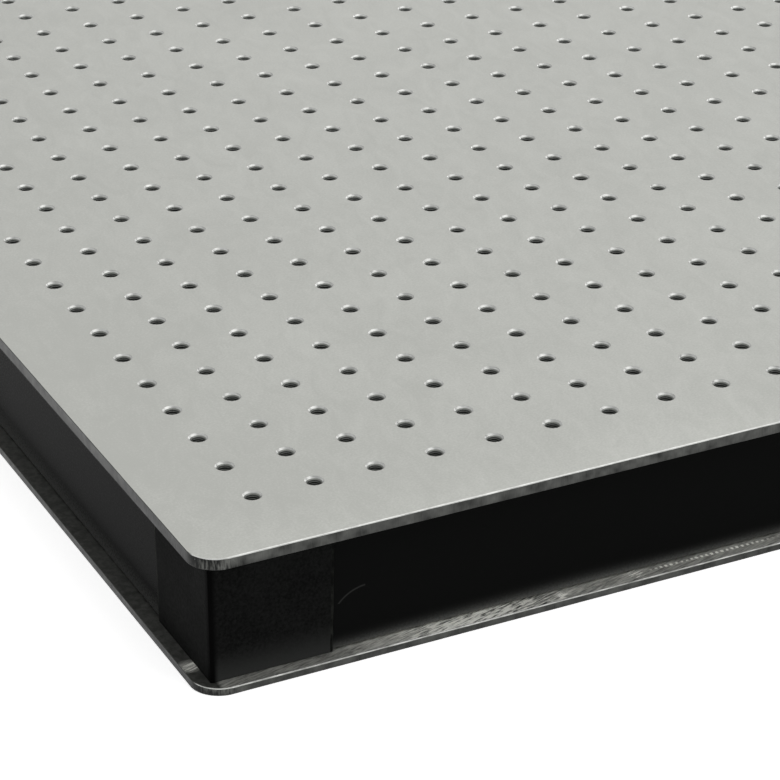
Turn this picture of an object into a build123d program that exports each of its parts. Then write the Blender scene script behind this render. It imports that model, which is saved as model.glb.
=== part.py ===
from build123d import *
import os

# Optical breadboard: a tapped top skin and a plain bottom skin bonded to a steel truss core,
# closed all round by folded side channels, with an L-shaped cover over each corner.
# Millimetres, +Z up, origin at the centre of the underside.

# Hole grid
hole_pitch = 25.0
holes_x = 22
holes_y = 22
grid_border = 37.5        # outer row of holes to the skin's edge
tap_drill_diameter = 5.0  # for M6

# Skins
board_height = 57.2
top_skin_thickness = 4.8
bottom_skin_thickness = 3.2
skin_corner_radius = 12.0
edge_break = 0.5

# Side channels, folded from sheet, their flanges bonded to the two skins
side_recess = 6.3         # channel face to the skin's edge
channel_gauge = 1.5
channel_flange = 12.0
channel_bend = 0.5        # inside radius of a fold

# Corner covers
cover_gauge = 0.8
cover_leg = 50.0
cover_nose_radius = 0.7
cover_play = 0.2          # to the skin above and the skin below

# Truss core: a folded strip under each row of holes, a flat strip on each side of it
strip_gauge = 0.3
strip_land = 4.0          # flat crest of a fold, bonded to the flat strip beside it
core_play = 0.5           # strip ends to the channel flanges

# Worked out from the sizes above
board_length = (holes_x - 1) * hole_pitch + 2 * grid_border
board_width = (holes_y - 1) * hole_pitch + 2 * grid_border
core_floor = bottom_skin_thickness
core_height = board_height - top_skin_thickness - bottom_skin_thickness
core_top = core_floor + core_height
wall_length = board_length - 2 * side_recess
wall_width = board_width - 2 * side_recess
core_length = wall_length - 2 * (channel_flange + core_play)

os.makedirs("parts", exist_ok=True)


def save(piece, name):
    piece.label = name
    export_step(piece, f"parts/{name}.step")


def break_outline(skin):
    """Chamfers the outline of a plate's upper and lower faces."""
    lower, upper = skin.faces().filter_by(Axis.Z)[0], skin.faces().filter_by(Axis.Z)[-1]
    chamfer(lower.outer_wire().edges() + upper.outer_wire().edges(), edge_break)


# Bottom skin: plain sheet with rounded corners
with BuildPart() as bottom_skin:
    with BuildSketch(Plane.XY):
        RectangleRounded(board_length, board_width, skin_corner_radius)
    extrude(amount=bottom_skin_thickness)
    break_outline(bottom_skin)
save(bottom_skin.part, "bottom_skin")

# Top skin: the same outline, drilled over the whole grid
with BuildPart() as top_skin:
    with BuildSketch(Plane.XY.offset(core_top)):
        RectangleRounded(board_length, board_width, skin_corner_radius)
    extrude(amount=top_skin_thickness)
    break_outline(top_skin)
    with Locations(Plane.XY.offset(board_height)):
        with GridLocations(hole_pitch, hole_pitch, holes_x, holes_y):
            Hole(tap_drill_diameter / 2)
save(top_skin.part, "top_skin")


def side_channel(plane, length):
    """A channel folded from sheet, open to the inside, with its ends mitred at 45 degrees.

    The plane lies across the channel's middle: x to the inside, y up, z along the board's edge.
    """
    with BuildPart() as channel:
        with BuildSketch(plane):
            with BuildLine():
                FilletPolyline(
                    (channel_flange, 0),
                    (0, 0),
                    (0, core_height),
                    (channel_flange, core_height),
                    radius=channel_bend + channel_gauge,
                )
                offset(amount=channel_gauge, side=Side.RIGHT)
            make_face()
        extrude(amount=length / 2, both=True)
        for end in (-1, 1):
            tip = plane.origin + plane.z_dir * end * length / 2
            mitre = Plane(tip, x_dir=plane.y_dir, z_dir=plane.z_dir * end + plane.x_dir)
            split(bisect_by=mitre, keep=Keep.BOTTOM)
    return channel.part


for name, inward, reach, length in (
    ("front_side_panel", (0, 1, 0), wall_width, wall_length),
    ("back_side_panel", (0, -1, 0), wall_width, wall_length),
    ("left_side_panel", (1, 0, 0), wall_length, wall_width),
    ("right_side_panel", (-1, 0, 0), wall_length, wall_width),
):
    foot = Vector(*inward) * (-reach / 2) + Vector(0, 0, core_floor)
    along = Vector(*inward).cross(Vector(0, 0, 1))
    save(side_channel(Plane(foot, x_dir=inward, z_dir=along), length), name)

# Corner covers: one folded sheet over each mitred corner
for name, right, ahead, turn in (
    ("front_left_corner_cover", -1, -1, (1, 0, 0)),
    ("front_right_corner_cover", 1, -1, (0, 1, 0)),
    ("back_right_corner_cover", 1, 1, (-1, 0, 0)),
    ("back_left_corner_cover", -1, 1, (0, -1, 0)),
):
    corner = (right * wall_length / 2, ahead * wall_width / 2, core_floor + cover_play)
    with BuildPart() as cover:
        with BuildSketch(Plane(corner, x_dir=turn)):
            with BuildLine():
                Polyline(
                    (-cover_gauge, cover_leg),
                    (-cover_gauge, -cover_gauge),
                    (cover_leg, -cover_gauge),
                    (cover_leg, 0),
                    (0, 0),
                    (0, cover_leg),
                    close=True,
                )
            make_face()
        extrude(amount=core_height - 2 * cover_play)
        nose = cover.edges().filter_by(Axis.Z).sort_by_distance(corner)
        fillet(nose[1], cover_nose_radius)
    save(cover.part, name)

# Core, row by row from the front: flat strips between the rows of holes
for row in range(holes_y + 1):
    strip_y = (row - holes_y / 2) * hole_pitch
    with BuildPart() as flat_strip:
        with BuildSketch(Plane((0, strip_y, core_floor))):
            Rectangle(core_length, strip_gauge)
        extrude(amount=core_height)
    save(flat_strip.part, f"core_flat_strip_{row + 1:02d}")

# Folded strips: a crest over each hole, a crest on the other side between two holes
back_crest = (hole_pitch - strip_gauge) / 2 - strip_gauge
front_crest = -(hole_pitch - strip_gauge) / 2
for row in range(holes_y):
    strip_y = (row - (holes_y - 1) / 2) * hole_pitch
    folds = []
    for step in range(2 * holes_x + 1):
        crest_x = (step - holes_x) * hole_pitch / 2
        crest_y = back_crest if step % 2 else front_crest
        folds += [(crest_x - strip_land / 2, crest_y), (crest_x + strip_land / 2, crest_y)]
    with BuildPart() as folded_strip:
        with BuildSketch(Plane((0, strip_y, core_floor))):
            with BuildLine():
                Polyline(*folds)
                offset(amount=strip_gauge, kind=Kind.INTERSECTION, side=Side.LEFT)
            make_face()
        extrude(amount=core_height)
    save(folded_strip.part, f"core_folded_strip_{row + 1:02d}")
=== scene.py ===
import math

import bmesh
import bpy
import numpy as np
from mathutils import Matrix, Vector


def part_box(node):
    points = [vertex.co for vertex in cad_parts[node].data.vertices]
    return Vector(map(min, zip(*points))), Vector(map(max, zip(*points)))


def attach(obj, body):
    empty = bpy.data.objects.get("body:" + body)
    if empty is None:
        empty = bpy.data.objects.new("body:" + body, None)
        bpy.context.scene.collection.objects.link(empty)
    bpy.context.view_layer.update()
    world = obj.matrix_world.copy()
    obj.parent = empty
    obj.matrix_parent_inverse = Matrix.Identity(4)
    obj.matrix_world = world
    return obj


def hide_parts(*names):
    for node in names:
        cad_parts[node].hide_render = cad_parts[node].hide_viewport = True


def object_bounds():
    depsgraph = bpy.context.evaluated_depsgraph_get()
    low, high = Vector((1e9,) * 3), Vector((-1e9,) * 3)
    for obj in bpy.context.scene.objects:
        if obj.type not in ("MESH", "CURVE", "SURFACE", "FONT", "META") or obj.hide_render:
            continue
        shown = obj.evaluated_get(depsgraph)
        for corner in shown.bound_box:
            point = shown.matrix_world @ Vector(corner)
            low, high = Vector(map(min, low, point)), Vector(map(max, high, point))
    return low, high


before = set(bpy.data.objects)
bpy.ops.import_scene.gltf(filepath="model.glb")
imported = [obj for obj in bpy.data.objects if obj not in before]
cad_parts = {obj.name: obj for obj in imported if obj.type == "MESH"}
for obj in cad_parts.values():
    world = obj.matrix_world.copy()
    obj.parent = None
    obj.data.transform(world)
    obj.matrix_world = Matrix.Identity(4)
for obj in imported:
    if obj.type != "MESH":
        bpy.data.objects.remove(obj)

# Optical breadboard: a drilled stainless top skin and a plain bottom skin with a steel core bonded between
# them, glossy black side panels set in under the skins, and a matt black cover folded round each corner.
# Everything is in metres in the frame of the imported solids: z up, the board stands on z = 0.

mm = 0.001
cadLow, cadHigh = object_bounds()
topLow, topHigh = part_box("top_skin")
bottomLow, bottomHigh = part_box("bottom_skin")
frontPanelLow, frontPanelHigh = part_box("front_side_panel")
leftPanelLow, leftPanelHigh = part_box("left_side_panel")
print("frame loaded:", len(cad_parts), "nodes")


# Colours and shader nodes

def tone(level, warmth=0.0, green=0.0):
    # A grey as it should show on screen, 0 to 255, made linear by the usual screen curve: a straight line
    # near black and a power above it.
    shown = np.array([level + warmth, level + green, level - warmth]) / 255
    linear = np.where(shown <= 0.04045, shown / 12.92, ((shown + 0.055) / 1.055) ** 2.4)
    return (*[float(part) for part in linear], 1.0)


def addNode(tree, kind, inputs=None, **settings):  # one shader node, its inputs numbers or other sockets
    node = tree.nodes.new(kind)
    for key, value in settings.items():
        setattr(node, key, value)
    for key, value in (inputs or {}).items():
        if isinstance(value, bpy.types.NodeSocket):
            tree.links.new(value, node.inputs[key])
        else:
            node.inputs[key].default_value = value
    return node


def startMaterial(name):  # a material with only its output, and the object's coordinates
    material = bpy.data.materials.new(name)
    material.use_nodes = True
    tree = material.node_tree
    tree.nodes.clear()
    output = addNode(tree, "ShaderNodeOutputMaterial")
    place = addNode(tree, "ShaderNodeTexCoord").outputs["Object"]
    return material, tree, output, place


def stretched(tree, place, scale, turn=None):  # the coordinates turned, then stretched for a grain
    if turn:
        place = addNode(tree, "ShaderNodeMapping", {"Vector": place, "Rotation": turn}).outputs[0]
    return addNode(tree, "ShaderNodeMapping", {"Vector": place, "Scale": scale}).outputs[0]


def noise(tree, place, scale=1.0, detail=2.0, roughness=0.5, distortion=0.0):
    inputs = {"Vector": place, "Scale": scale, "Detail": detail}
    inputs.update({"Roughness": roughness, "Distortion": distortion})
    return addNode(tree, "ShaderNodeTexNoise", inputs).outputs["Fac"]


def remap(tree, value, fromRange, toRange):  # a value taken from one range to another, held at the ends
    inputs = {"Value": value, "From Min": fromRange[0], "From Max": fromRange[1]}
    inputs.update({"To Min": toRange[0], "To Max": toRange[1]})
    return addNode(tree, "ShaderNodeMapRange", inputs).outputs[0]


def calc(tree, operation, first, second=0.0):
    return addNode(tree, "ShaderNodeMath", {0: first, 1: second}, operation=operation).outputs[0]


def distanceFrom(tree, place, spot):
    node = addNode(tree, "ShaderNodeVectorMath", {0: place, 1: spot}, operation="DISTANCE")
    return node.outputs["Value"]


def blendColours(tree, share, first, second):  # sockets 6 and 7 take the colours, 2 gives the mixed one
    node = addNode(tree, "ShaderNodeMix", {"Factor": share}, data_type="RGBA")
    for socket, value in ((node.inputs[6], first), (node.inputs[7], second)):
        if isinstance(value, bpy.types.NodeSocket):
            tree.links.new(value, socket)
        else:
            socket.default_value = value
    return node.outputs[2]


def addBump(tree, height, distance, strength=1.0):
    inputs = {"Height": height, "Distance": distance, "Strength": strength}
    return addNode(tree, "ShaderNodeBump", inputs).outputs[0]


def finishMaterial(tree, output, **inputs):
    named = {key.replace("_", " "): value for key, value in inputs.items()}
    shader = addNode(tree, "ShaderNodeBsdfPrincipled", named)
    tree.links.new(shader.outputs[0], output.inputs["Surface"])


# Materials

noiseRange = (0.3, 0.7)  # where nearly all of a noise lies
noiseMiddle = 0.5


def weighted(tree, *pairs):  # the sum of values, each times its weight
    total = 0.0
    for value, weight in pairs:
        total = calc(tree, "ADD", calc(tree, "MULTIPLY", value, weight), total)
    return total


def axesOf(tree, place):
    return addNode(tree, "ShaderNodeSeparateXYZ", {"Vector": place}).outputs


def alongSide(tree, axes):  # how far a point of a rim is from its side's middle: the smaller of |x| and |y|
    return calc(tree, "MINIMUM", calc(tree, "ABSOLUTE", axes["X"]), calc(tree, "ABSOLUTE", axes["Y"]))


def darkToLight(tree, s, share):
    return blendColours(tree, remap(tree, share, s["shareRange"], (0, 1)), s["dark"], s["light"])


def followed(tree, s, relief):  # roughness and bump that both follow one relief
    return {
        "Roughness": remap(tree, relief, noiseRange, s["roughness"]),
        "Normal": addBump(tree, relief, s["reliefDepth"], s["reliefStrength"]),
    }


def finishMetal(tree, output, s, colour, relief):
    finishMaterial(tree, output, Base_Color=colour, Metallic=s["metallic"], **followed(tree, s, relief))


sandedSteel = {
    "dark": tone(169, 2, 3), "light": tone(185, 2, 3), "shareRange": (0.36, 0.64),
    "cloudScale": 9.0, "cloudTwist": 1.6,  # soft patches, about 110 mm across
    "swirlScale": 45.0, "swirlStretch": (2.2, 1, 1), "swirlTurn": (0, 0, 0.2), "swirlTwist": 1.2,
    "grainScale": 1100.0,  # grain of about a millimetre
    "weights": (0.16, 0.28, 0.56), "roughness": (0.38, 0.47), "metallic": 0.92,
    "leftReach": (-300 * mm, -110 * mm), "leftShade": -0.11,  # painted shade, a little darker towards the left side
    "reliefDepth": 0.02 * mm, "reliefStrength": 0.6,
}


def makeSandedSteel():  # cloud = twisted noise, swirl = drawn-out twisted noise, grain = fine noise
    s = sandedSteel
    material, tree, output, place = startMaterial("sandedSteel")
    cloud = noise(tree, place, s["cloudScale"], detail=3, roughness=0.55, distortion=s["cloudTwist"])
    drawnOut = stretched(tree, place, s["swirlStretch"], s["swirlTurn"])
    swirl = noise(tree, drawnOut, s["swirlScale"], detail=3, roughness=0.6, distortion=s["swirlTwist"])
    grain = noise(tree, place, s["grainScale"], roughness=0.6)
    share = weighted(tree, *zip((cloud, swirl, grain), s["weights"]))
    # painted shade: the colour darkens towards the left side
    leftward = remap(tree, axesOf(tree, place)["X"], s["leftReach"], (s["leftShade"], 0))
    share = calc(tree, "ADD", share, leftward)
    finishMetal(tree, output, s, darkToLight(tree, s, share), grain)
    return material


# The cut edges' dark tones are partly the steel's own and partly painted shade.
edgeSteel = {
    "topEdgeSteel": {"dark": tone(20, 0, 1), "light": tone(92, 1, 2), "burr": 0.06},
    "bottomEdgeSteel": {"dark": tone(24, 0, 1), "light": tone(86, 1, 2), "burr": 0.06},
    "streakScale": (1500, 1500, 240), "patchScale": 150.0, "weights": (0.28, 0.72),
    "shareRange": (0.29, 0.75),
    "curvedReach": (284 * mm, 289 * mm), "curvedStreaks": 1.3,  # stronger streaks round the corners
    "leftShade": -0.12, "leftReach": (0.3 * mm, 4 * mm),  # painted shade along the left side
    "cornerReach": (-285 * mm, -215 * mm), "cornerShade": 3.2,  # and more so by its front corner
    "nickScale": 520.0, "nickRange": (0.76, 0.8), "nickGlint": tone(150, 1, 2),  # small nicks, with painted glints
    "roughness": (0.34, 0.5), "metallic": 0.8, "reliefDepth": 0.05 * mm, "reliefStrength": 0.4,
}


def makeEdgeSteel(name, low, high):
    # The share of light steel is a weighted sum of streaks, which are noise drawn out along z, and patches of
    # coarse noise. It grows with height, because a sheared edge is smooth above and torn below, falls along
    # the left side and more by its front corner as painted shade, and follows the streaks more round the
    # corners. The dark tones are partly the cut steel's own and partly painted shade.
    s = {**edgeSteel, **edgeSteel[name]}
    material, tree, output, place = startMaterial(name)
    axes = axesOf(tree, place)
    streaks = noise(tree, stretched(tree, place, s["streakScale"]), detail=3, roughness=0.65)
    patches = noise(tree, place, s["patchScale"])
    share = weighted(tree, *zip((streaks, patches), s["weights"]))
    upward = remap(tree, axes["Z"], (low, high), (-s["burr"] / 2, s["burr"] / 2))
    fromLeft = calc(tree, "SUBTRACT", axes["X"], topLow.x)
    leftward = remap(tree, fromLeft, s["leftReach"], (s["leftShade"], 0))
    nearCorner = remap(tree, axes["Y"], s["cornerReach"], (s["cornerShade"], 1))
    leftward = calc(tree, "MULTIPLY", leftward, nearCorner)
    share = calc(tree, "ADD", share, calc(tree, "ADD", upward, leftward))
    curved = remap(tree, alongSide(tree, axes), s["curvedReach"], (0, s["curvedStreaks"]))
    swing = calc(tree, "SUBTRACT", streaks, noiseMiddle)
    share = calc(tree, "ADD", share, calc(tree, "MULTIPLY", curved, swing))
    # small nicks whose glints are painted as light colour
    nicks = remap(tree, noise(tree, place, s["nickScale"]), s["nickRange"], (0, 1))
    colour = blendColours(tree, nicks, darkToLight(tree, s, share), s["nickGlint"])
    finishMetal(tree, output, s, colour, streaks)
    return material


arrisSteel = {
    "arrisSteel": {"dark": tone(156, 1, 2), "light": tone(192, 1, 2)},  # bare metal where the edge is broken
    # a darker copy for the bottom skin's arris, as painted shade
    "shadedArrisSteel": {"dark": tone(112, 1, 2), "light": tone(180, 1, 2)},
    "leftArrisShade": tone(60, 1, 2), "leftArrisShadeReach": (0.3 * mm, 1.0 * mm),  # painted shade: the left side's arris is darker
    "nickScale": 140.0, "shareRange": (0.3, 0.62), "roughness": (0.36, 0.46), "metallic": 0.95,
    "reliefDepth": 0.02 * mm, "reliefStrength": 0.5,
}


def makeArrisSteel(name):  # nicks = noise of a few millimetres; the painted shade on the left side's arris follows the nearness to that side
    s = {**arrisSteel, **arrisSteel[name]}
    material, tree, output, place = startMaterial(name)
    nicks = noise(tree, place, s["nickScale"], detail=3, roughness=0.6)
    fromLeft = calc(tree, "SUBTRACT", axesOf(tree, place)["X"], topLow.x)
    leftArrisShade = remap(tree, fromLeft, s["leftArrisShadeReach"], (1, 0))
    colour = blendColours(tree, leftArrisShade, darkToLight(tree, s, nicks), s["leftArrisShade"])
    finishMetal(tree, output, s, colour, nicks)
    return material


ledgeSteel = {
    "soiled": tone(34, 1, 2), "dark": tone(62, 1, 2), "light": tone(246, 4, 4),
    "scratchTurn": (0, 0, -0.26), "scratchScale": (190, 1400, 200), "patchScale": 60.0,
    "patchTwist": 0.8, "weights": (0.74, 0.26), "shareRange": (0.36, 0.585),
    "fanStart": (150 * mm, 168 * mm), "fanEnd": (200 * mm, 222 * mm),  # where the scuffs are boldest, with painted glints
    "fanContrast": (0.6, 1.8), "fanLevel": (0.5, 0.66),  # each without the fan and within it
    "fanGlintShare": 1.3,  # painted glints within the fan
    "soilScale": 420.0, "soilRange": (0.38, 0.62),  # grained soil between the scuffs
    "coverShadeReach": (222 * mm, 250 * mm), "cornerShade": 0.52,  # painted shade beside the corner covers
    "middleDull": (105 * mm, 160 * mm), "middleShare": 0.66,  # darker round the middle of each side
    "leftLedgeShadeReach": (1 * mm, 4 * mm), "leftShade": 0.02,  # painted shade left of the left panel's face
    "spotGlints": (  # spots of painted glint: x, y and reach
        (-297 * mm, -280 * mm, 5 * mm), (-118 * mm, -296 * mm, 5 * mm), (-151 * mm, -297 * mm, 5 * mm),
    ),
    "spotGlintShare": 1.9, "spotGlintLeast": 0.2,
    "dashPitch": 2.3 * mm, "dashLine": -295.3 * mm, "dashWidth": 1.3 * mm,  # a row of light dashes
    "dashShare": 1.8, "dashCut": (-0.5, 0.4), "dashDrift": 9.0, "dashThinning": (0.35, 1),
    "dashStart": (-116 * mm, -108 * mm), "dashEnd": (-72 * mm, -40 * mm),
    "roughness": (0.36, 0.5), "metallic": 0.4, "reliefDepth": 0.035 * mm, "reliefStrength": 0.7,
}


def ledgeDashes(tree, axes, uneven):
    # A sine of the way along x, cut to its upper part, times the nearness to a line along the front. An
    # uneven value shifts the dashes and thins them, and the row fades at both ends.
    s = ledgeSteel
    way = calc(tree, "MULTIPLY", axes["X"], 2 * math.pi / s["dashPitch"])
    wave = calc(tree, "SINE", calc(tree, "ADD", way, calc(tree, "MULTIPLY", uneven, s["dashDrift"])))
    offLine = calc(tree, "ABSOLUTE", calc(tree, "SUBTRACT", axes["Y"], s["dashLine"]))
    onLine = remap(tree, offLine, (0, s["dashWidth"]), (1, 0))
    dash = calc(tree, "MULTIPLY", remap(tree, wave, s["dashCut"], (0, 1)), onLine)
    for ends, shares in ((s["dashStart"], (0, s["dashShare"])), (s["dashEnd"], (1, 0))):
        dash = calc(tree, "MULTIPLY", dash, remap(tree, axes["X"], ends, shares))
    return calc(tree, "MULTIPLY", dash, remap(tree, uneven, s["shareRange"], s["dashThinning"]))


def ledgeScuffsShadeAndGlints(tree, axes, share):
    # The share of light metal, with its contrast and level raised in the fan, a stretch of each side. It is
    # less by the covers and round a side's middle, and nearly none left of the left panel; by the covers and
    # left of the panel it is painted shade. Painted glints are the share squared, only within the fan.
    s = ledgeSteel
    along = alongSide(tree, axes)
    scuffsWithShade = calc(
        tree, "MULTIPLY", remap(tree, along, s["coverShadeReach"], (1, s["cornerShade"])),
        remap(tree, along, s["middleDull"], (s["middleShare"], 1)),
    )
    fromPanel = calc(tree, "SUBTRACT", axes["X"], leftPanelLow.x)
    leftLedgeShade = remap(tree, fromPanel, s["leftLedgeShadeReach"], (s["leftShade"], 1))
    scuffsWithShade = calc(tree, "MINIMUM", scuffsWithShade, leftLedgeShade)
    fan = remap(tree, along, s["fanStart"], (0, 1))
    fan = calc(tree, "MULTIPLY", fan, remap(tree, along, s["fanEnd"], (1, 0)))
    fan = calc(tree, "MULTIPLY", fan, leftLedgeShade)
    swing = calc(tree, "SUBTRACT", share, noiseMiddle)
    swing = calc(tree, "MULTIPLY", swing, remap(tree, fan, (0, 1), s["fanContrast"]))
    level = calc(tree, "ADD", swing, remap(tree, fan, (0, 1), s["fanLevel"]))
    squared = calc(tree, "MULTIPLY", share, share)
    fanGlint = calc(tree, "MULTIPLY", squared, calc(tree, "MULTIPLY", fan, s["fanGlintShare"]))
    return calc(tree, "MULTIPLY", level, scuffsWithShade), fanGlint


def makeLedgeSteel():
    # Scratches are noise drawn out aslant, bright where patches of coarse noise let them. Painted glints show
    # in the fan and in a few spots, and light in a row of dashes, each the squared share times the nearness
    # to its middle.
    s = ledgeSteel
    material, tree, output, place = startMaterial("ledgeSteel")
    axes = axesOf(tree, place)
    aslant = stretched(tree, place, s["scratchScale"], s["scratchTurn"])
    scratches = noise(tree, aslant, detail=3, roughness=0.7)
    patches = noise(tree, place, s["patchScale"], detail=3, roughness=0.6, distortion=s["patchTwist"])
    share = weighted(tree, *zip((scratches, patches), s["weights"]))
    share = remap(tree, share, s["shareRange"], (0, 1))
    shadedScuffs, bright = ledgeScuffsShadeAndGlints(tree, axes, share)
    squared = calc(tree, "MULTIPLY", share, share)
    for x, y, reach in s["spotGlints"]:
        fromSpot = distanceFrom(tree, place, (x, y, bottomHigh.z))
        near = remap(tree, fromSpot, (0, reach), (s["spotGlintShare"], 0))
        spotGlints = calc(tree, "MULTIPLY", near, calc(tree, "ADD", squared, s["spotGlintLeast"]))
        bright = calc(tree, "MAXIMUM", bright, spotGlints)
    bright = calc(tree, "MAXIMUM", bright, ledgeDashes(tree, axes, patches))
    soil = noise(tree, place, s["soilScale"], roughness=0.6)
    dark = blendColours(tree, remap(tree, soil, s["soilRange"], (0, 1)), s["soiled"], s["dark"])
    colour = blendColours(tree, calc(tree, "MAXIMUM", shadedScuffs, bright), dark, s["light"])
    metallic = remap(tree, bright, (0, 1), (s["metallic"], 0))
    finishMaterial(tree, output, Base_Color=colour, Metallic=metallic, **followed(tree, s, scratches))
    return material


mouthSteel = {
    "dark": tone(152, 1, 2), "light": tone(188, 1, 2), "shareRange": noiseRange,  # cut of the countersink
    "cutScale": 300.0, "cutStretch": (1, 1, 4), "roughness": (0.28, 0.38), "metallic": 0.75,
    "reliefDepth": 0.01 * mm, "reliefStrength": 0.3,
}


def makeMouthSteel():  # cut = noise squeezed along z, like the rings that a countersink leaves
    s = mouthSteel
    material, tree, output, place = startMaterial("mouthSteel")
    cut = noise(tree, stretched(tree, place, s["cutStretch"]), s["cutScale"])
    finishMetal(tree, output, s, darkToLight(tree, s, cut), cut)
    return material


threadSteel = {
    "dark": tone(60, 0, 2), "light": tone(118, 1, 3), "weights": (0.6, 0.4), "shareRange": (0.1, 0.9),
    "pitch": 1.0 * mm, "soilScale": 700.0,  # patchy soil, and painted shade in the thread's roots
    "roughness": (0.35, 0.5), "metallic": 0.6, "threadDepth": 0.3 * mm, "threadStrength": 0.8,
}


def makeThreadSteel():  # thread = sine of height with the thread's pitch, which paints shade in the roots
    s = threadSteel
    material, tree, output, place = startMaterial("threadSteel")
    turns = calc(tree, "MULTIPLY", axesOf(tree, place)["Z"], 2 * math.pi / s["pitch"])
    thread = remap(tree, calc(tree, "SINE", turns), (-1, 1), (0, 1))
    soil = noise(tree, place, s["soilScale"])
    share = weighted(tree, *zip((thread, soil), s["weights"]))
    finishMaterial(
        tree, output, Base_Color=darkToLight(tree, s, share), Metallic=s["metallic"],
        Roughness=remap(tree, soil, noiseRange, s["roughness"]),
        Normal=addBump(tree, thread, s["threadDepth"], s["threadStrength"]),
    )
    return material


panelGloss = {
    "black": tone(19, 0, 0.5), "footLight": tone(146, 1, 2),  # smooth black film, with a painted reflection of the ledge near its foot
    "footLightTop": 14 * mm, "footLightFade": 4.8, "footLightDrift": (0.8, 1.1), "driftScale": 9.0,
    "speckleScale": 1100.0, "speckleRange": (0.25, 0.7), "speckleShare": (0.55, 1),
    "rightFade": (-100 * mm, -40 * mm, 0.8),  # less painted reflection past the first third of the front
    "coverFade": (-248 * mm, -215 * mm, 0.8),  # and beside the front cover
    "leftSheen": (-240 * mm, -90 * mm, 0.05),  # a painted sheen on the left panel, away from its cover
    "leftFootLight": (3.2 * mm, 13 * mm), "leftFootLightShare": 0.26,  # and stronger at its foot, painted light against the shade there
    "creaseMiddle": (-231.1 * mm, 12.3 * mm), "creaseRadius": 15.6 * mm, "creaseWidth": 0.5 * mm,
    "creaseShare": 0.11, "creaseRight": -232 * mm, "creaseFoot": 22.5 * mm,  # a fine bent crease, drawn as a painted highlight
    "waveScale": 9.0, "waveStretch": (1, 1, 2), "waveDepth": 0.25 * mm, "waveStrength": 0.5,
    "peelScale": 420.0, "peelDepth": 0.004 * mm,
    "roughness": (0.2, 0.3), "footLightRoughness": 0.25, "specular": 0.0058,
}


def panelFootLight(tree, place, axes, speckle):
    # Painted reflection of the ledge: a power of the nearness to the foot, with a height that drifts by
    # coarse noise, broken up by speckle. The left panel has a painted sheen instead, which comes on away from
    # its cover and grows at its foot, painted light against the shade there.
    s = panelGloss
    drift = remap(tree, noise(tree, place, s["driftScale"], detail=1), noiseRange, s["footLightDrift"])
    top = calc(tree, "MULTIPLY", drift, s["footLightTop"])
    fromTop = calc(tree, "SUBTRACT", top, axes["Z"])
    near = calc(tree, "DIVIDE", fromTop, calc(tree, "SUBTRACT", top, frontPanelLow.z))
    near = calc(tree, "POWER", remap(tree, near, (0, 1), (0, 1)), s["footLightFade"])
    for fade, ends in ((s["rightFade"], (1, s["rightFade"][2])), (s["coverFade"], (s["coverFade"][2], 1))):
        near = calc(tree, "MULTIPLY", near, remap(tree, axes["X"], fade[:2], ends))
    onLeft = remap(tree, axes["X"], (leftPanelLow.x, leftPanelHigh.x), (1, 0))
    sheenOnLeft = remap(tree, axes["Y"], s["leftSheen"][:2], (0, s["leftSheen"][2]))
    sheenOnLeft = calc(tree, "ADD", sheenOnLeft, remap(tree, axes["Z"], s["leftFootLight"], (s["leftFootLightShare"], 0)))
    near = calc(tree, "MULTIPLY", near, calc(tree, "SUBTRACT", 1.0, onLeft))
    near = calc(tree, "ADD", near, calc(tree, "MULTIPLY", sheenOnLeft, onLeft))
    return calc(tree, "MULTIPLY", near, remap(tree, speckle, s["speckleRange"], s["speckleShare"]))


def panelCrease(tree, place, axes):  # part of a ring, where the distance from its middle is its radius
    s = panelGloss
    middleX, middleZ = s["creaseMiddle"]
    fromMiddle = distanceFrom(tree, place, (middleX, frontPanelLow.y, middleZ))
    offRing = calc(tree, "ABSOLUTE", calc(tree, "SUBTRACT", fromMiddle, s["creaseRadius"]))
    ring = remap(tree, offRing, (0, s["creaseWidth"]), (s["creaseShare"], 0))
    leftOfEnd = calc(tree, "LESS_THAN", axes["X"], s["creaseRight"])
    aboveFoot = calc(tree, "GREATER_THAN", axes["Z"], s["creaseFoot"])
    return calc(tree, "MULTIPLY", ring, calc(tree, "MULTIPLY", leftOfEnd, aboveFoot))


def makePanelGloss():
    # The greater of the painted reflection at the foot and the crease's painted highlight lightens the black.
    # Long waves and a fine peel, both noise, bend its gloss a little.
    s = panelGloss
    material, tree, output, place = startMaterial("panelGloss")
    axes = axesOf(tree, place)
    speckle = noise(tree, place, s["speckleScale"], roughness=0.6)
    footLight = panelFootLight(tree, place, axes, speckle)
    paintedLight = calc(tree, "MAXIMUM", footLight, panelCrease(tree, place, axes))
    waves = noise(tree, stretched(tree, place, s["waveStretch"]), s["waveScale"], detail=1, roughness=0.4)
    waved = addBump(tree, waves, s["waveDepth"], s["waveStrength"])
    peel = noise(tree, place, s["peelScale"], detail=1, roughness=0.4)
    peeled = addNode(tree, "ShaderNodeBump", {"Height": peel, "Distance": s["peelDepth"], "Normal": waved})
    rough = remap(tree, speckle, noiseRange, s["roughness"])
    finishMaterial(
        tree, output, Base_Color=blendColours(tree, paintedLight, s["black"], s["footLight"]),
        Roughness=weighted(tree, (rough, 1.0), (paintedLight, s["footLightRoughness"])),
        Specular_IOR_Level=s["specular"], Normal=peeled.outputs[0],
    )
    return material


coverMatt = {
    "dark": tone(16, 0, 0.5), "light": tone(31, 0, 0.5), "fold": tone(9),  # matt film, with painted shade at its fold
    "speckleScale": 1000.0, "patchScale": 60.0, "weights": (0.7, 0.3), "shareRange": (0.35, 0.65),
    "foldReach": (-1.6 * mm, 0.2 * mm),
    "footLight": tone(62, 0, 1), "footLightReach": (3.2 * mm, 17 * mm), "footLightFade": 1.5,  # painted light on the front, near its foot
    "roughness": (0.5, 0.66), "specular": 0.0075, "reliefDepth": 0.03 * mm, "reliefStrength": 0.6,
}


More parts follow.
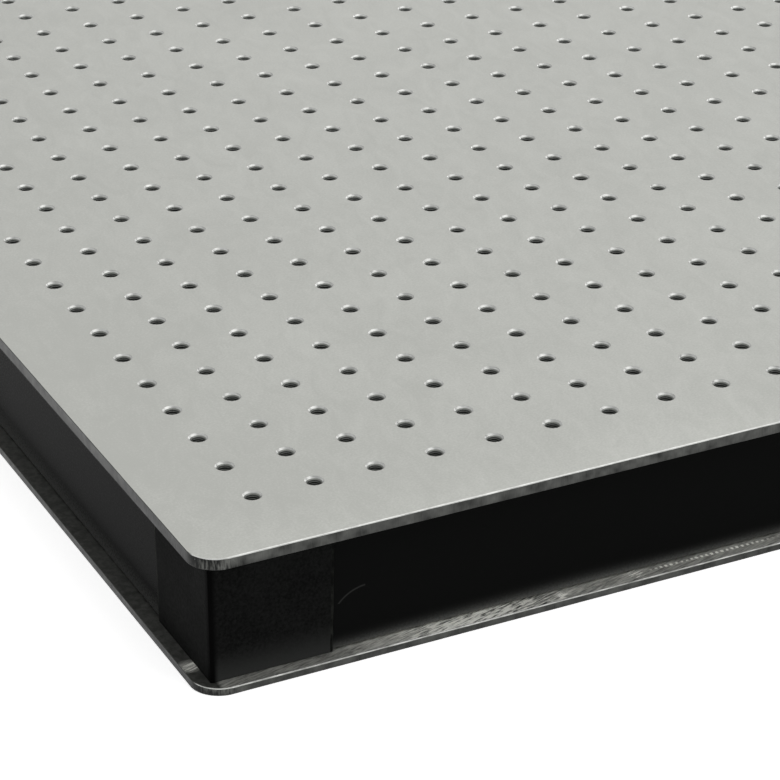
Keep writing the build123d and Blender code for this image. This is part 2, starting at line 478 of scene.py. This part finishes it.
def makeCoverMatt():
    # Speckle and patches are noise. Painted light is a power of the nearness to the foot, on the front faces
    # only. The painted shade at the fold follows the nearness of |x| + |y| to what it is where two panels
    # meet.
    s = coverMatt
    material, tree, output, place = startMaterial("coverMatt")
    axes = axesOf(tree, place)
    speckle = noise(tree, place, s["speckleScale"], roughness=0.6)
    patches = noise(tree, place, s["patchScale"])
    share = weighted(tree, *zip((speckle, patches), s["weights"]))
    paintedLight = calc(tree, "POWER", remap(tree, axes["Z"], s["footLightReach"], (1, 0)), s["footLightFade"])
    onFront = calc(tree, "LESS_THAN", axes["Y"], frontPanelLow.y)
    paintedLight = calc(tree, "MULTIPLY", paintedLight, onFront)
    colour = blendColours(tree, paintedLight, darkToLight(tree, s, share), s["footLight"])
    fromCorner = calc(tree, "ADD", calc(tree, "ABSOLUTE", axes["X"]), calc(tree, "ABSOLUTE", axes["Y"]))
    fromCorner = calc(tree, "SUBTRACT", fromCorner, abs(leftPanelLow.x) + abs(frontPanelLow.y))
    foldShade = remap(tree, fromCorner, s["foldReach"], (0, 1))
    finishMaterial(
        tree, output, Base_Color=blendColours(tree, foldShade, colour, s["fold"]),
        Roughness=remap(tree, patches, noiseRange, s["roughness"]), Specular_IOR_Level=s["specular"],
        Normal=addBump(tree, speckle, s["reliefDepth"], s["reliefStrength"]),
    )
    return material


cutFilm = {
    "dark": tone(9, 0, 1), "light": tone(46, 1, 2), "shareRange": (0.42, 0.68),  # cut end of a cover, paler as a cut edge and by a painted catch-light
    "fibreScale": 150.0, "roughness": (0.5, 0.7), "specular": 0.02,
    "reliefDepth": 0.03 * mm, "reliefStrength": 0.5,
}


def makeCutFilm():  # fibres = noise of a few millimetres
    s = cutFilm
    material, tree, output, place = startMaterial("cutFilm")
    fibres = noise(tree, place, s["fibreScale"], detail=3, roughness=0.6)
    finishMaterial(
        tree, output, Base_Color=darkToLight(tree, s, fibres), Specular_IOR_Level=s["specular"],
        **followed(tree, s, fibres),
    )
    return material


coreSteel = {
    "dark": tone(105, 0, 1), "light": tone(150, 0, 1), "shareRange": (0.35, 0.65),  # rolled strip
    "grainScale": (12, 12, 900), "stainScale": 18.0, "weights": (0.6, 0.4),  # grained along its length
    "roughness": (0.35, 0.55), "metallic": 0.9, "reliefDepth": 0.01 * mm, "reliefStrength": 0.5,
}


def makeCoreSteel():  # grain = noise squeezed along z, stain = coarse noise
    s = coreSteel
    material, tree, output, place = startMaterial("coreSteel")
    grain = noise(tree, stretched(tree, place, s["grainScale"]), detail=3, roughness=0.6)
    stain = noise(tree, place, s["stainScale"])
    share = weighted(tree, *zip((grain, stain), s["weights"]))
    finishMetal(tree, output, s, darkToLight(tree, s, share), grain)
    return material


materials = {
    "face": makeSandedSteel(), "edge": makeEdgeSteel("topEdgeSteel", topLow.z, topHigh.z),
    "lowEdge": makeEdgeSteel("bottomEdgeSteel", bottomLow.z, bottomHigh.z),
    "arris": makeArrisSteel("arrisSteel"), "shadedArris": makeArrisSteel("shadedArrisSteel"),
    "ledge": makeLedgeSteel(), "mouth": makeMouthSteel(), "thread": makeThreadSteel(),
    "panel": makePanelGloss(), "cover": makeCoverMatt(), "cutFilm": makeCutFilm(), "core": makeCoreSteel(),
}
print("materials made:", len(materials))


# Mesh tools

weldsPerMetre = 1e6  # points closer than a micrometre become one


def gridQuads(rows, columns, closed=True):  # a point grid's quads; if closed, the last column meets the first
    row, column = np.meshgrid(np.arange(rows - 1), np.arange(columns - (not closed)), indexing="ij")
    following = (column + 1) % columns
    here, above = row * columns, (row + 1) * columns
    corners = [here + column, here + following, above + following, above + column]
    return np.stack(corners, axis=-1).reshape(-1, 4)


def sheetPatch(points, zones, closed=True):  # a grid of points with one zone number per band between two rows
    rows, columns = points.shape[:2]
    quads = gridQuads(rows, columns, closed)
    perBand = len(quads) // (rows - 1)
    return points.reshape(-1, 3), quads, np.repeat(zones, perBand)


def weldPatches(patches):
    # Points that round to the same place become one. A quad's corner that meets the next one is dropped, and
    # a quad left with two corners goes.
    starts = np.cumsum([0] + [len(points) for points, _, _ in patches[:-1]])
    points = np.concatenate([points for points, _, _ in patches])
    quads = np.concatenate([quads + start for (_, quads, _), start in zip(patches, starts)])
    zones = np.concatenate([zones for _, _, zones in patches])
    rounded = np.round(points * weldsPerMetre).astype(np.int64)
    _, first, place = np.unique(rounded, axis=0, return_index=True, return_inverse=True)
    quads = place.reshape(-1)[quads]
    kept = quads != np.roll(quads, -1, axis=1)
    counts = kept.sum(axis=1)
    whole = counts > 2
    return points[first], quads[whole][kept[whole]], counts[whole], zones[whole]


def joinPatches(name, patches, zoneMaterials, sharpAngle):  # one closed mesh, its faces pointing outwards
    points, loops, counts, zones = weldPatches(patches)
    mesh = bpy.data.meshes.new(name)
    mesh.vertices.add(len(points))
    mesh.vertices.foreach_set("co", points.astype(np.float32).ravel())
    mesh.loops.add(len(loops))
    mesh.loops.foreach_set("vertex_index", loops.astype(np.int32))
    mesh.polygons.add(len(counts))
    starts = np.concatenate([[0], np.cumsum(counts)[:-1]])
    mesh.polygons.foreach_set("loop_start", starts.astype(np.int32))
    mesh.polygons.foreach_set("loop_total", counts.astype(np.int32))
    mesh.polygons.foreach_set("material_index", zones.astype(np.int32))
    for key in zoneMaterials:
        mesh.materials.append(materials[key])
    mesh.update(calc_edges=True)
    mesh.validate()
    work = bmesh.new()
    work.from_mesh(mesh)
    bmesh.ops.recalc_face_normals(work, faces=work.faces)
    openEdges = sum(not edge.is_manifold for edge in work.edges)
    work.to_mesh(mesh)
    work.free()
    mesh.polygons.foreach_set("use_smooth", np.ones(len(mesh.polygons), bool))
    mesh.set_sharp_from_angle(angle=sharpAngle)
    piece = bpy.data.objects.new(name, mesh)
    bpy.context.scene.collection.objects.link(piece)
    print(f"{name}: {len(points)} points, {len(counts)} faces, {openEdges} open edges")
    return piece


# Skins

holeGrid = {
    "pitch": 25.0 * mm, "across": 22, "segments": 16,
    "mouthRadius": 3.78 * mm, "footRadius": 3.15 * mm, "mouthDepth": 0.74 * mm,  # the countersink
    "mouthSpread": 0.08 * mm, "spreadStep": 12.9898,  # mouths a little wider or narrower from hole to hole
    "leadDepth": 0.5 * mm, "boreRadius": 2.5 * mm,  # from the countersink's foot to the full thread
}
skin = {
    "cornerRadius": 12.0 * mm, "cornerSteps": 16, "arrisSteps": 4, "sharpAngle": math.radians(28),
    "topArris": 0.5 * mm, "bottomArris": 0.45 * mm, "leftArris": 0.5,  # the left side's share of the width
    "arrisSpread": 0.18, "arrisWaves": ((37, 0), (61, 1), (97, 2)),  # waves round the outline, and shifts
    "lean": 0.03 * mm, "leanWaves": (53, 3), "flatInset": 1e-9,  # the flat edge, where the inset is nothing
}
topZones = ["face", "arris", "edge", "mouth", "thread"]  # materials by zone number, those of the rim first
bottomZones = ["ledge", "shadedArris", "lowEdge"]


def gridReach():  # from the middle to the outer side of the last hole's square
    return holeGrid["pitch"] * holeGrid["across"] / 2


def holeCentres():  # along one side
    count = holeGrid["across"]
    return (np.arange(count) - (count - 1) / 2) * holeGrid["pitch"]


def squareRing(angles):  # where a ray at each angle meets a square one pitch wide
    reach = holeGrid["pitch"] / 2 / np.maximum(np.abs(np.cos(angles)), np.abs(np.sin(angles)))
    return reach * np.cos(angles), reach * np.sin(angles)


def holeCells(top, bottom):
    # A cell is a square one pitch wide with a ring of points round its hole at each height: the square, the
    # mouth, the countersink's foot, the bore's two ends and the square below. The mouth's radius differs from
    # hole to hole by a sine of the hole's number.
    h = holeGrid
    angles = np.arange(h["segments"]) * 2 * math.pi / h["segments"]
    foot = top - h["mouthDepth"]
    radii = np.array([h["mouthRadius"], h["footRadius"], h["boreRadius"], h["boreRadius"]])
    heights = np.array([top, top, foot, foot - h["leadDepth"], bottom, bottom])
    centreX, centreY = np.meshgrid(holeCentres(), holeCentres(), indexing="ij")
    centreX, centreY = centreX.reshape(-1, 1, 1), centreY.reshape(-1, 1, 1)
    number = np.arange(centreX.size).reshape(-1, 1, 1)
    isMouth = (np.arange(len(radii)) == 0).reshape(1, -1, 1)
    spread = h["mouthSpread"] * np.sin(number * h["spreadStep"]) * isMouth
    rings = radii.reshape(1, -1, 1) + spread
    squareX, squareY = (np.broadcast_to(part, (centreX.size, 1, len(angles))) for part in squareRing(angles))
    x = np.concatenate([squareX, rings * np.cos(angles), squareX], axis=1) + centreX
    y = np.concatenate([squareY, rings * np.sin(angles), squareY], axis=1) + centreY
    z = np.broadcast_to(heights.reshape(1, -1, 1), x.shape)
    points = np.stack([x, y, z], axis=-1)
    cellStarts = np.arange(centreX.size) * len(heights) * len(angles)
    quads = gridQuads(len(heights), len(angles))[None] + cellStarts[:, None, None]
    bands = ["face", "mouth", "thread", "thread", "face"]
    zones = np.repeat([topZones.index(band) for band in bands], len(angles))
    return points.reshape(-1, 3), quads.reshape(-1, 4), np.tile(zones, centreX.size)


def cellStations():
    # Where the squares' points lie along one side of the grid: half a pitch times the tangent of each angle.
    h = holeGrid
    cornerStep = h["segments"] // 8  # steps from the middle of a square's side to its corner
    angles = np.arange(-cornerStep, cornerStep) * 2 * math.pi / h["segments"]
    stations = holeCentres()[:, None] + (np.tan(angles) * h["pitch"] / 2)[None]
    return np.append(stations.ravel(), gridReach())


def outlinePath(halfX, halfY):
    # One side is the stations along the hole grid and then a quarter circle round the corner; the four sides
    # turn by 90 degrees. A point's spot is a corner radius inside the outline, and it has a way outwards.
    radius = skin["cornerRadius"]
    stations = cellStations()
    sweep = np.linspace(0, math.pi / 2, skin["cornerSteps"] + 1)
    spots, outwards = [], []
    for side in range(4):
        turn = side * math.pi / 2
        along = np.array([round(math.cos(turn)), round(math.sin(turn))])
        out = np.array([along[1], -along[0]])
        halfAlong, halfOut = (halfX, halfY) if side % 2 == 0 else (halfY, halfX)
        straight = stations[:, None] * along + (halfOut - radius) * out
        corner = (halfAlong - radius) * along + (halfOut - radius) * out
        spots += [straight, np.broadcast_to(corner, (len(sweep), 2))]
        outwards.append(np.broadcast_to(out, straight.shape))
        outwards.append(np.cos(sweep)[:, None] * out + np.sin(sweep)[:, None] * along)
    return np.concatenate(spots), np.concatenate(outwards)


def edgeProfile(top, bottom, arris):  # rows of inset and height: a quarter round, the flat, a quarter round
    turn = np.linspace(0, math.pi / 2, skin["arrisSteps"] + 1)[:, None]
    upperInset, upperHeight = arris * (1 - np.sin(turn)), top - arris * (1 - np.cos(turn))
    lowerInset, lowerHeight = upperInset[::-1], bottom + arris * (1 - np.cos(turn[::-1]))
    return np.concatenate([upperInset, lowerInset]), np.concatenate([upperHeight, lowerHeight])


def edgeRows(halfX, halfY, top, bottom, arrisWidth):
    # The profile carried round the outline. The arris is wider and narrower along the way by a sum of sines
    # with whole numbers of waves, and narrower on the left. The flat edge leans in and out by a sine too.
    spots, outwards = outlinePath(halfX, halfY)
    way = np.arange(len(spots)) / len(spots) * 2 * math.pi
    waves = skin["arrisWaves"]
    uneven = sum(np.sin(way * count + shift) for count, shift in waves) / len(waves)
    leftward = np.maximum(-outwards[:, 0], 0)
    narrowed = 1 - (1 - skin["leftArris"]) * leftward
    arris = arrisWidth * (1 + skin["arrisSpread"] * uneven)[None] * narrowed[None]
    inset, height = edgeProfile(top, bottom, arris)
    count, shift = skin["leanWaves"]
    lean = skin["lean"] * (1 + np.sin(way * count + shift))[None] / 2
    inset = inset + lean * (np.abs(inset) < skin["flatInset"])
    flat = spots[None] + (skin["cornerRadius"] - inset)[..., None] * outwards[None]
    return np.concatenate([flat, height[..., None]], axis=-1), spots


def skinRim(rows, upper, lower, zoneNames):  # from the upper face over the edge to the lower face
    face, arris, edge = zoneNames[:3]
    bands = [face] + [arris] * skin["arrisSteps"] + [edge] * (skin["arrisSteps"] + 1) + [face]
    return sheetPatch(np.concatenate([upper, rows, lower]), [zoneNames.index(band) for band in bands])


def makeTopSkin():  # the holes' cells, and a rim from the outermost cells' sides to the skin's edge
    low, high = topLow, topHigh
    rows, spots = edgeRows(high.x, high.y, high.z, low.z, skin["topArris"])
    inner = np.clip(spots, -gridReach(), gridReach())
    upper = np.concatenate([inner, np.full((len(inner), 1), high.z)], axis=1)[None]
    lower = np.concatenate([inner, np.full((len(inner), 1), low.z)], axis=1)[None]
    rim = skinRim(rows, upper, lower, topZones)
    piece = joinPatches("topSkin", [holeCells(high.z, low.z), rim], topZones, skin["sharpAngle"])
    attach(piece, "root")
    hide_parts("top_skin")


def makeBottomSkin():  # the same rim, each face closed by a fan round its middle
    low, high = bottomLow, bottomHigh
    rows, spots = edgeRows(high.x, high.y, high.z, low.z, skin["bottomArris"])
    pole = np.zeros((1, len(spots), 3))
    rim = skinRim(rows, pole + [0, 0, high.z], pole + [0, 0, low.z], bottomZones)
    piece = joinPatches("bottomSkin", [rim], bottomZones, skin["sharpAngle"])
    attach(piece, "root")
    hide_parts("bottom_skin")


makeTopSkin()
makeBottomSkin()
print("skins made")


# Corner covers

cover = {
    "legStep": 2.0 * mm, "crowding": 1.4,  # columns, and a power above 1 that crowds them at the end
    "heightSteps": 14, "noseRadius": 0.7 * mm, "noseSteps": 6, "sharpAngle": math.radians(40),
    "endRun": 0.5 * mm, "cutBands": 2,  # the end's quarter ellipse, and its bands of cut film
    "slant": 1.2 * mm, "raggedness": 0.35 * mm, "raggedWaves": (9, 23),  # the line of the end
    "ripple": 0.07 * mm, "rippleWaves": (130, 5),  # of the face, along and up
    "legTurn": 2, "phaseStep": 1.7,  # shifts of the waves, from leg to leg and from cover to cover
}


def coverLeg(leg, gauge, upward, phase, turn):
    # The outer face of one leg: how far each of its points is from the corner, and how far off the wall. It
    # stands a gauge off, less a ripple by a product of sines, and runs out in a quarter ellipse at the end.
    # The end slants and wavers with height by two sines.
    columns = int(leg / cover["legStep"])
    fromEnd = 1 - np.linspace(0, 1, columns + 1)[None]
    share = 1 - fromEnd ** cover["crowding"]  # 0 at the corner, 1 at the end
    slow, fast = cover["raggedWaves"]
    ragged = np.sin(upward * slow + phase + turn) + np.sin(upward * fast + 2 * phase)
    ragged = cover["raggedness"] * ragged / 2
    length = leg - cover["raggedness"] - cover["slant"] * (1 - upward) - np.abs(ragged)
    start = cover["noseRadius"] - gauge
    along = start + share * (length - start)
    left = np.clip((length - along) / cover["endRun"], 0, 1)
    alongWaves, upWaves = cover["rippleWaves"]
    ripple = (1 + np.sin(along * alongWaves + phase) * np.sin(upward * upWaves + turn)) / 2
    ripple = cover["ripple"] * ripple * (share > 0)
    offset = gauge * np.sqrt(1 - (1 - left) ** 2) - ripple * (left >= 1)
    return along, offset


def makeCover(node, sideX, sideY, phase):
    # Two point grids, the outer and the inner face of a folded sheet, joined along all four borders. The
    # outer face runs from one leg's end round a quarter circle at the nose to the other leg's end, and the
    # inner face is the outer one pressed flat onto the walls.
    low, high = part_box(node)
    wallX, wallY = abs(leftPanelLow.x), abs(frontPanelLow.y)
    gauge = max(abs(low.x), abs(high.x)) - wallX
    leg = (high.x - low.x) - gauge
    radius = cover["noseRadius"]
    upward = np.linspace(0, 1, cover["heightSteps"] + 1)[:, None]
    sweep = np.linspace(0, math.pi / 2, cover["noseSteps"] + 1)[None, 1:-1]
    alongX, offX = coverLeg(leg, gauge, upward, phase, 0)  # the leg that faces along x, and runs along y
    alongY, offY = coverLeg(leg, gauge, upward, phase, cover["legTurn"])
    ones = np.ones_like(upward)
    noseX = wallX + gauge - radius + radius * np.cos(sweep) * ones
    noseY = wallY + gauge - radius + radius * np.sin(sweep) * ones
    outerX = np.concatenate([wallX + offX[:, ::-1], noseX, wallX - alongY], axis=1)
    outerY = np.concatenate([wallY - alongX[:, ::-1], noseY, wallY + offY], axis=1)
    innerX, innerY = np.minimum(outerX, wallX), np.minimum(outerY, wallY)
    height = np.broadcast_to(low.z + upward * (high.z - low.z), outerX.shape)
    outerFace = np.stack([sideX * outerX, sideY * outerY, height], axis=-1)
    innerFace = np.stack([sideX * innerX, sideY * innerY, height], axis=-1)
    # The faces' grid has a row of points up each column, so that the bands at the two ends can be cut film.
    around = np.concatenate([outerFace, innerFace[:, ::-1], outerFace[:, :1]], axis=1).transpose(1, 0, 2)
    columns, cutBands = outerX.shape[1], cover["cutBands"]
    ends = [*range(cutBands), *range(columns - 1 - cutBands, columns), 2 * columns - 1]
    zones = np.isin(np.arange(2 * columns), ends).astype(int)
    rims = [sheetPatch(np.stack([outerFace[row], innerFace[row]]), [0], False) for row in (0, -1)]
    pieceName = {-1: "front", 1: "back"}[sideY] + {-1: "Left", 1: "Right"}[sideX] + "CornerCover"
    patches = [sheetPatch(around, zones, False), *rims]
    piece = joinPatches(pieceName, patches, ["cover", "cutFilm"], cover["sharpAngle"])
    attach(piece, "root")
    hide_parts(node)


for number, (node, sideX, sideY) in enumerate((
    ("front_left_corner_cover", -1, -1), ("front_right_corner_cover", 1, -1),
    ("back_right_corner_cover", 1, 1), ("back_left_corner_cover", -1, 1),
)):
    makeCover(node, sideX, sideY, number * cover["phaseStep"])
print("corner covers made")


# Finishes of the solids that stay as they are

for nodeName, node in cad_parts.items():
    if nodeName.endswith("side_panel"):
        node.data.materials.clear()
        node.data.materials.append(materials["panel"])
    elif nodeName.startswith("core_"):
        node.data.materials.clear()
        node.data.materials.append(materials["core"])
print("panels and core finished")


# Floor, background, lights and camera

studio = {
    "floorSize": 14.0, "floorDrop": 0.05 * mm,  # the floor lies a hair under the board
    "floorColour": tone(236),  # as it lights the board
    "floorShown": tone(250), "floorGlow": 0.67,  # as it shows
    "dimWorld": 0.4,  # the background's light on the board, against 1 where it shows
    "key": {"direction": (0.42, -0.27, 0.86), "distance": 2.3, "size": 2.2, "power": 24},
    "overhead": {"direction": (-0.25, 0.3, 0.92), "distance": 2.6, "size": 2.4, "power": 6},
    "rim": {"direction": (0.9, 0.36, 0.2), "distance": 2.2, "size": 0.9, "power": 6},  # low, for the holes
    "fill": {"direction": (-0.8, -0.55, 0.35), "distance": 2.6, "size": 1.4, "power": 0.8},
}


def shownRays(tree):  # 1 for rays that show the background: seen, mirrored or through glass
    path = addNode(tree, "ShaderNodeLightPath").outputs
    seen = calc(tree, "MAXIMUM", path["Is Camera Ray"], path["Is Glossy Ray"])
    return calc(tree, "MAXIMUM", seen, path["Is Transmission Ray"])


def makeFloor():  # plain where it lights the board, with a glow where it shows, to meet the white behind it
    half = studio["floorSize"] / 2
    corners = [(-half, -half, 0), (half, -half, 0), (half, half, 0), (-half, half, 0)]
    mesh = bpy.data.meshes.new("floor")
    mesh.from_pydata(corners, [], [(0, 1, 2, 3)])
    floor = bpy.data.objects.new("floor", mesh)
    bpy.context.scene.collection.objects.link(floor)
    floor.location.z = -studio["floorDrop"]
    material, tree, output, _ = startMaterial("floorWhite")
    plain = addNode(tree, "ShaderNodeBsdfDiffuse", {"Color": studio["floorColour"]}).outputs[0]
    shown = addNode(tree, "ShaderNodeBsdfDiffuse", {"Color": studio["floorShown"]}).outputs[0]
    glow = addNode(tree, "ShaderNodeEmission", {"Strength": studio["floorGlow"]}).outputs[0]
    lit = addNode(tree, "ShaderNodeAddShader", {0: shown, 1: glow}).outputs[0]
    mixed = addNode(tree, "ShaderNodeMixShader", {0: shownRays(tree), 1: plain, 2: lit}).outputs[0]
    tree.links.new(mixed, output.inputs["Surface"])
    mesh.materials.append(material)


def makeWorld():
    world = bpy.data.worlds.new("studio")
    world.use_nodes = True
    tree = world.node_tree
    tree.nodes.clear()
    white = (1, 1, 1, 1)
    dim = addNode(tree, "ShaderNodeBackground", {"Color": white, "Strength": studio["dimWorld"]}).outputs[0]
    bright = addNode(tree, "ShaderNodeBackground", {"Color": white, "Strength": 1.0}).outputs[0]
    mixed = addNode(tree, "ShaderNodeMixShader", {0: shownRays(tree), 1: dim, 2: bright}).outputs[0]
    output = addNode(tree, "ShaderNodeOutputWorld")
    tree.links.new(mixed, output.inputs["Surface"])
    bpy.context.scene.world = world


def addSoftbox(name):
    s = studio[name]
    lamp = bpy.data.lights.new(name, "AREA")
    lamp.size = s["size"]
    lamp.energy = s["power"]
    box = bpy.data.objects.new(name, lamp)
    bpy.context.scene.collection.objects.link(box)
    direction = Vector(s["direction"]).normalized()
    box.location = direction * s["distance"]
    box.rotation_euler = direction.to_track_quat("Z", "Y").to_euler()


viewPlan = {
    "aim": (-180.3 * mm, -209.83 * mm),  # the middle of the picture, on the top face
    "distance": 1253.25 * mm, "azimuth": -26.268, "elevation": 27.2605, "roll": 0.16,
    "lens": 149.02, "sensor": 36.0, "nearest": 50 * mm,
}


def makeCamera():  # stands back from the aim along the azimuth and elevation, level but for the roll
    azimuth, elevation = math.radians(viewPlan["azimuth"]), math.radians(viewPlan["elevation"])
    flat = math.cos(elevation)
    back = Vector((math.sin(azimuth) * flat, -math.cos(azimuth) * flat, math.sin(elevation)))
    data = bpy.data.cameras.new("camera")
    data.lens = viewPlan["lens"]
    data.sensor_width = viewPlan["sensor"]
    data.clip_start = viewPlan["nearest"]
    camera = bpy.data.objects.new("camera", data)
    bpy.context.scene.collection.objects.link(camera)
    level = back.to_track_quat("Z", "Y").to_matrix()
    turned = level @ Matrix.Rotation(-math.radians(viewPlan["roll"]), 3, "Z")
    place = Vector((*viewPlan["aim"], cadHigh.z)) + back * viewPlan["distance"]
    camera.matrix_world = Matrix.Translation(place) @ turned.to_4x4()
    bpy.context.scene.camera = camera


makeFloor()
makeWorld()
for name in ("key", "overhead", "rim", "fill"):
    addSoftbox(name)
makeCamera()
bpy.context.scene.view_settings.view_transform = "Standard"
print("studio made")
